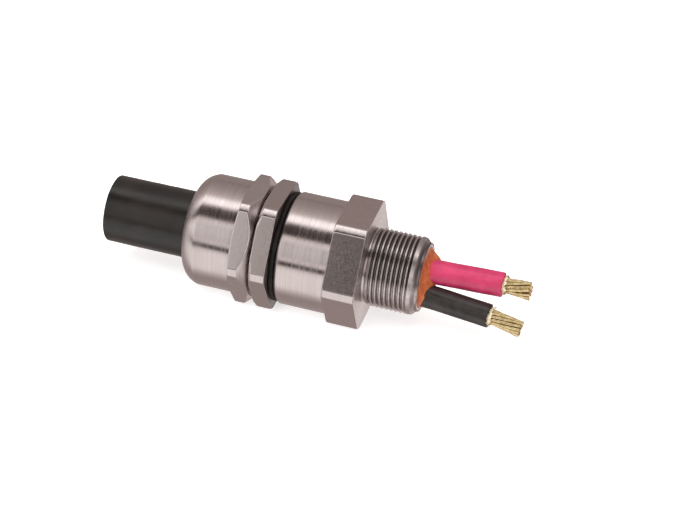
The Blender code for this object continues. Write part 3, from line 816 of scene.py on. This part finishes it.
def conductor(colour, core, flare, seed):
    """Nineteen drawn wires laid in a helix, sprung apart toward their cut ends."""
    rng = random.Random(seed)
    bare = core["insulation_end"]
    place = along_core(core)
    lay_length = 62.0
    sides = 10
    points = []
    faces = []
    slots = []
    for distance, start_angle in strand_layers():
        end = core["conductor_end"] - 0.12 - rng.uniform(0.0, 0.65)
        wander = rng.uniform(-0.10, 0.10)
        spread = flare * rng.uniform(0.75, 1.15)
        wire = 0.49 * rng.uniform(0.96, 1.03)
        rows = stations_between(CABLE_START + 0.15, bare - 2, 26) + stations_between(bare - 1, end, 14)
        first = len(points)
        for station in rows:
            free = max(station - bare, 0.0) / (core["conductor_end"] - bare)
            out = distance * (1 + spread * free ** 1.5)
            turn = start_angle + math.tau * station / lay_length + wander * free
            for side in range(sides):
                angle = math.tau * side / sides
                x = out * math.cos(turn) + wire * math.cos(angle)
                y = out * math.sin(turn) + wire * math.sin(angle)
                points.append(place(station, math.hypot(x, y), math.atan2(y, x)))
        faces += wire_faces(first, len(rows), sides)
        slots += [0] * ((len(rows) - 1) * sides) + [1, 1]
    bundle = mesh_object(f"core_{colour}_strands", points, faces, [STRAND, STRAND_END])
    for polygon, slot in zip(bundle.data.polygons, slots):
        polygon.material_index = slot
    bundle.data.set_sharp_from_angle(angle=math.radians(50))
    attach(bundle, "root")
    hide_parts(f"core_{colour}_conductor")


def armour():
    """Galvanised wires under the sheath, straight along the cable and splayed up the cone."""
    path = ((CABLE_START + 0.12, 9.05), (-60, 9.05), (-40, 9.05), (-27, 9.05), (-24, 9.3),
            (-20.5, 10.06), (-16, 11.55), (-11.2, 13.13))
    wire_radius = 0.64
    sides = 12
    for number in range(WIRE_COUNT):
        base = math.tau * (number + 0.5) / WIRE_COUNT
        points = []
        for station, radius in path:
            for side in range(sides):
                angle = math.tau * side / sides
                x = radius + wire_radius * math.cos(angle)
                y = wire_radius * math.sin(angle)
                points.append(on_axis(station, math.hypot(x, y), base + math.atan2(y, x)))
        faces = wire_faces(0, len(path), sides)
        wire = mesh_object(f"armour_wire_{number + 1:02d}_round", points, faces, [ARMOUR])
        wire.data.set_sharp_from_angle(angle=math.radians(50))
        face_outward(wire)
        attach(wire, "root")
        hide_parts(f"armour_wire_{number + 1:02d}")


# ---------------------------------------------------------------- compound

def bump_at(y, z, place, width):
    gap = math.hypot(y - place[0], z - place[1]) / width
    return math.exp(-gap * gap)


def compound_mound():
    """Compound pressed into the bore: low in front of the red core, heaped up behind it and
    between the cores."""
    brim = 9.66
    across = (math.cos(CORE_TILT), math.sin(CORE_TILT))
    centres = [(core_offset(core, 20) * across[0], core_offset(core, 20) * across[1],
                insulation_radius(core, 20)) for core in (RED, BLACK)]
    heap = (5.2, 5.4)
    crotch = (across[0] * -1.4, across[1] * -1.4)
    foot = (across[0] * -7.0 - 2.0, across[1] * -7.0 + 1.5)
    top = 21.6
    tip_radius = 0.02

    def height(radius, angle):
        y = radius * math.cos(angle)
        z = radius * math.sin(angle)
        share = radius / brim
        level = 17.3 + 0.5 * (1 - share ** 3)
        level += 3.1 * bump_at(y, z, heap, 3.6) * min((1 - share) * 3.2, 1.0)
        level += 2.5 * bump_at(y, z, crotch, 4.4)
        level += 0.8 * bump_at(y, z, foot, 3.0) * min((1 - share) * 4, 1.0)
        for cy, cz, reach in centres:
            gap = math.hypot(y - cy, z - cz) - reach
            level += 0.4 * math.exp(-max(gap, 0.0) / 0.5)
        spot = Vector((y * 0.35, z * 0.35, 2.0))
        small = Vector((y * 1.1, z * 1.1, 7.0))
        fade = min((1 - share) * 5, 1.0)
        return min(level + (0.30 * noise.noise(spot) + 0.16 * noise.noise(small)) * fade, top)

    def ring(share):
        radius = brim * share

        def shape(angle):
            return height(radius, angle), radius
        return shape

    rings = [(-4, 0.05), (-4, 9.2), (16.4, 9.2), (16.8, brim - 0.1), (17.1, brim)]
    rings += [ring(1 - step / 60) for step in range(60)]
    rings.append((height(tip_radius, 0.0), tip_radius))
    mound = revolve("compound_mound", rings, ROUND_COLUMNS, [COMPOUND])
    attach(mound, "root")
    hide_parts("compound_barrier")


def hidden_parts():
    """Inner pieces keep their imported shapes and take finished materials."""
    finishes = {"compound_tube": BRASS, "armour_cone": BRASS, "armour_clamp_ring": BRASS,
                "tube_oring": RUBBER, "outer_seal": RUBBER, "skid_washer": TURNED,
                "cable_bedding": BEDDING}
    for name, finish in finishes.items():
        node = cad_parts[name]
        node.data.materials.clear()
        node.data.materials.append(finish)


entry_body()
middle_nut()
back_nut()
deluge_seal()
outer_sheath()
insulation("red", RED, RED_CORE, 1.0)
insulation("black", BLACK, BLACK_CORE, 6.0)
torn_film("red", RED, 3.0)
torn_film("black", BLACK, 8.0)
conductor("red", RED, 0.36, 11)
conductor("black", BLACK, 0.12, 23)
armour()
compound_mound()
hidden_parts()


# ---------------------------------------------------------------- studio

PEAK = 3.0                   # the brightest that a direction may be


def world_light():
    """Light by direction, as the turned steel mirrors it.

    The angle goes round the gland's axis: 0 is level in front, 90 overhead, 180 level behind and
    minus 90 straight down. A bright strip hangs overhead with a dark gap in front of it, and another
    dark gap lies level with the axis.
    """
    world = bpy.data.worlds.new("studio")
    world.use_nodes = True
    bpy.context.scene.world = world
    tree = world.node_tree
    nodes, links = tree.nodes, tree.links
    nodes.clear()

    def add(kind, **settings):
        node = nodes.new("ShaderNode" + kind)
        for key, value in settings.items():
            setattr(node, key, value)
        return node

    def operate(operation, a, b):
        node = add("Math", operation=operation)
        for socket, value in zip(node.inputs, (a, b)):
            if isinstance(value, bpy.types.NodeSocket):
                links.new(value, socket)
            else:
                socket.default_value = value
        return node.outputs[0]

    def profile(source, pairs, low, high):
        """Straight lines between (place, value) pairs."""
        share = operate("DIVIDE", operate("SUBTRACT", source, low), high - low)
        node = add("ValToRGB")
        band = node.color_ramp
        ends = (pairs[0], pairs[-1])
        for element, (place, _) in zip(band.elements, ends):
            element.position = (place - low) / (high - low)
        for place, _ in pairs[1:-1]:
            band.elements.new((place - low) / (high - low))
        for element, (_, value) in zip(band.elements, pairs):
            element.color = (value / PEAK, value / PEAK, value / PEAK, 1)
        links.new(share, node.inputs[0])
        return operate("MULTIPLY", node.outputs[0], PEAK)

    where = add("TexCoord")
    split = add("SeparateXYZ")
    links.new(where.outputs["Generated"], split.inputs[0])
    side, depth, up = split.outputs
    turn = operate("ARCTAN2", up, operate("MULTIPLY", depth, -1))
    angle = operate("MULTIPLY", turn, 180 / math.pi)
    above = profile(angle, [(-180, 0.34), (-165, 0.40), (-150, 0.50), (-110, 0.45), (-78, 0.45),
                            (-66, 0.75), (-54, 1.2), (-15, 1.2), (-6.5, 0.95), (-5, 0.02),
                            (3, 0.02), (4.5, 0.95), (14, 1.15), (35, 1.28), (50, 1.1),
                            (55, 0.9), (58, 0.07), (81, 0.07), (88, 1.9), (99, 1.9), (106, 0.85),
                            (118, 0.62), (135, 0.46), (152, 0.40), (156, 0.26), (160, 0.42),
                            (180, 0.36)], -180, 180)
    card_wide = profile(side, [(-1, 0), (-0.27, 0), (-0.235, 1), (-0.07, 1), (0.0, 0), (1, 0)], -1, 1)
    card_tall = profile(angle, [(-180, 0), (10, 0), (14, 1), (40, 1), (48, 0), (180, 0)], -180, 180)
    dark_card = operate("MULTIPLY", operate("MULTIPLY", card_wide, card_tall), 0.94)
    front = operate("MULTIPLY", above, operate("SUBTRACT", 1, dark_card))
    walls = profile(side, [(-1, 0.95), (-0.55, 1), (0.55, 1), (0.72, 0.35), (1, 0.35)], -1, 1)
    level = profile(angle, [(-180, 0), (-20, 0), (0, 1), (110, 1), (150, 0), (180, 0)], -180, 180)
    sides = operate("ADD", operate("MULTIPLY", walls, level), operate("SUBTRACT", 1, level))
    lit = operate("MULTIPLY", front, sides)
    behind = profile(angle, [(-180, 0.35), (-165, 1), (-120, 1), (-100, 0), (150, 0), (180, 0.3)],
                     -180, 180)
    right = profile(side, [(-1, 0), (0.08, 0), (0.22, 1), (1, 1)], -1, 1)
    lit = operate("ADD", lit, operate("MULTIPLY", operate("MULTIPLY", behind, right), 0.45))
    background = add("Background")
    links.new(lit, background.inputs["Strength"])
    tint = add("ValToRGB")
    dim, bright = tint.color_ramp.elements
    dim.position = 0.05
    dim.color = (1.0, 0.80, 0.76, 1)
    bright.position = 1.0
    bright.color = (1, 0.985, 0.98, 1)
    links.new(operate("DIVIDE", lit, 1.3), tint.inputs[0])
    links.new(tint.outputs[0], background.inputs["Color"])
    output = add("OutputWorld")
    links.new(background.outputs[0], output.inputs[0])


def fill_light(name, place, size, energy):
    """A soft lamp, aimed at the gland, that lights matt surfaces and isn't mirrored in the metal."""
    data = bpy.data.lights.new(name, "AREA")
    data.shape = "DISK"
    data.size = size
    data.energy = energy
    lamp = bpy.data.objects.new(name, data)
    lamp.location = place
    lamp.rotation_euler = (Vector((0, 0, 0)) - Vector(place)).to_track_quat("-Z", "Y").to_euler()
    lamp.visible_glossy = False
    bpy.context.scene.collection.objects.link(lamp)


def floor():
    """A light table: pale, softly lit from inside, so that only a faint contact shadow shows."""
    finish = Finish("pale_floor", (0.8, 0.8, 0.8), 0.75)
    cloud = finish.noise(finish.place, 9, 3)
    tone = finish.blend(finish.span(cloud, 0.3, 0.7, 0, 1), (0.79, 0.79, 0.788), (0.81, 0.81, 0.808))
    finish.set(finish.shader, {"Base Color": tone, "Emission Color": (1, 1, 1, 1),
                               "Emission Strength": 0.62})
    half = 1.6
    drop = -0.00015
    corners = [(-half, -half, drop), (half, -half, drop), (half, half, drop), (-half, half, drop)]
    sheet = mesh_object("studio_floor", corners, [(0, 1, 2, 3)], [finish.material], smooth=False)
    sheet.visible_glossy = False


def camera():
    """A camera that looks down on the gland from in front, a little to its thread's side."""
    azimuth, elevation, roll = (math.radians(value) for value in (13.685, 34.319, 4.879))
    distance = 0.5354
    aim_left = 0.00672
    aim_up = 0.00118
    back = Vector((math.sin(azimuth) * math.cos(elevation), -math.cos(azimuth) * math.cos(elevation),
                   math.sin(elevation)))
    level = Vector((math.cos(azimuth), math.sin(azimuth), 0))
    rise = back.cross(level)
    right = level * math.cos(roll) + rise * math.sin(roll)
    up = rise * math.cos(roll) - level * math.sin(roll)
    shoulder = Vector((SHOULDER_X, 0, AXIS_Z)) * MM
    aim = shoulder - right * aim_left + up * aim_up
    data = bpy.data.cameras.new("camera")
    data.sensor_width = 36
    data.lens = 88.05
    data.clip_start = 0.01
    eye = bpy.data.objects.new("camera", data)
    place = aim + back * distance
    turn = Matrix((right, up, back)).transposed().to_4x4()
    eye.matrix_world = Matrix.Translation(place) @ turn
    bpy.context.scene.collection.objects.link(eye)
    bpy.context.scene.camera = eye


world_light()
fill_light("top_fill", (-0.1, -0.35, 0.9), 0.9, 9.0)
floor()
camera()
bpy.context.scene.view_settings.view_transform = "Standard"
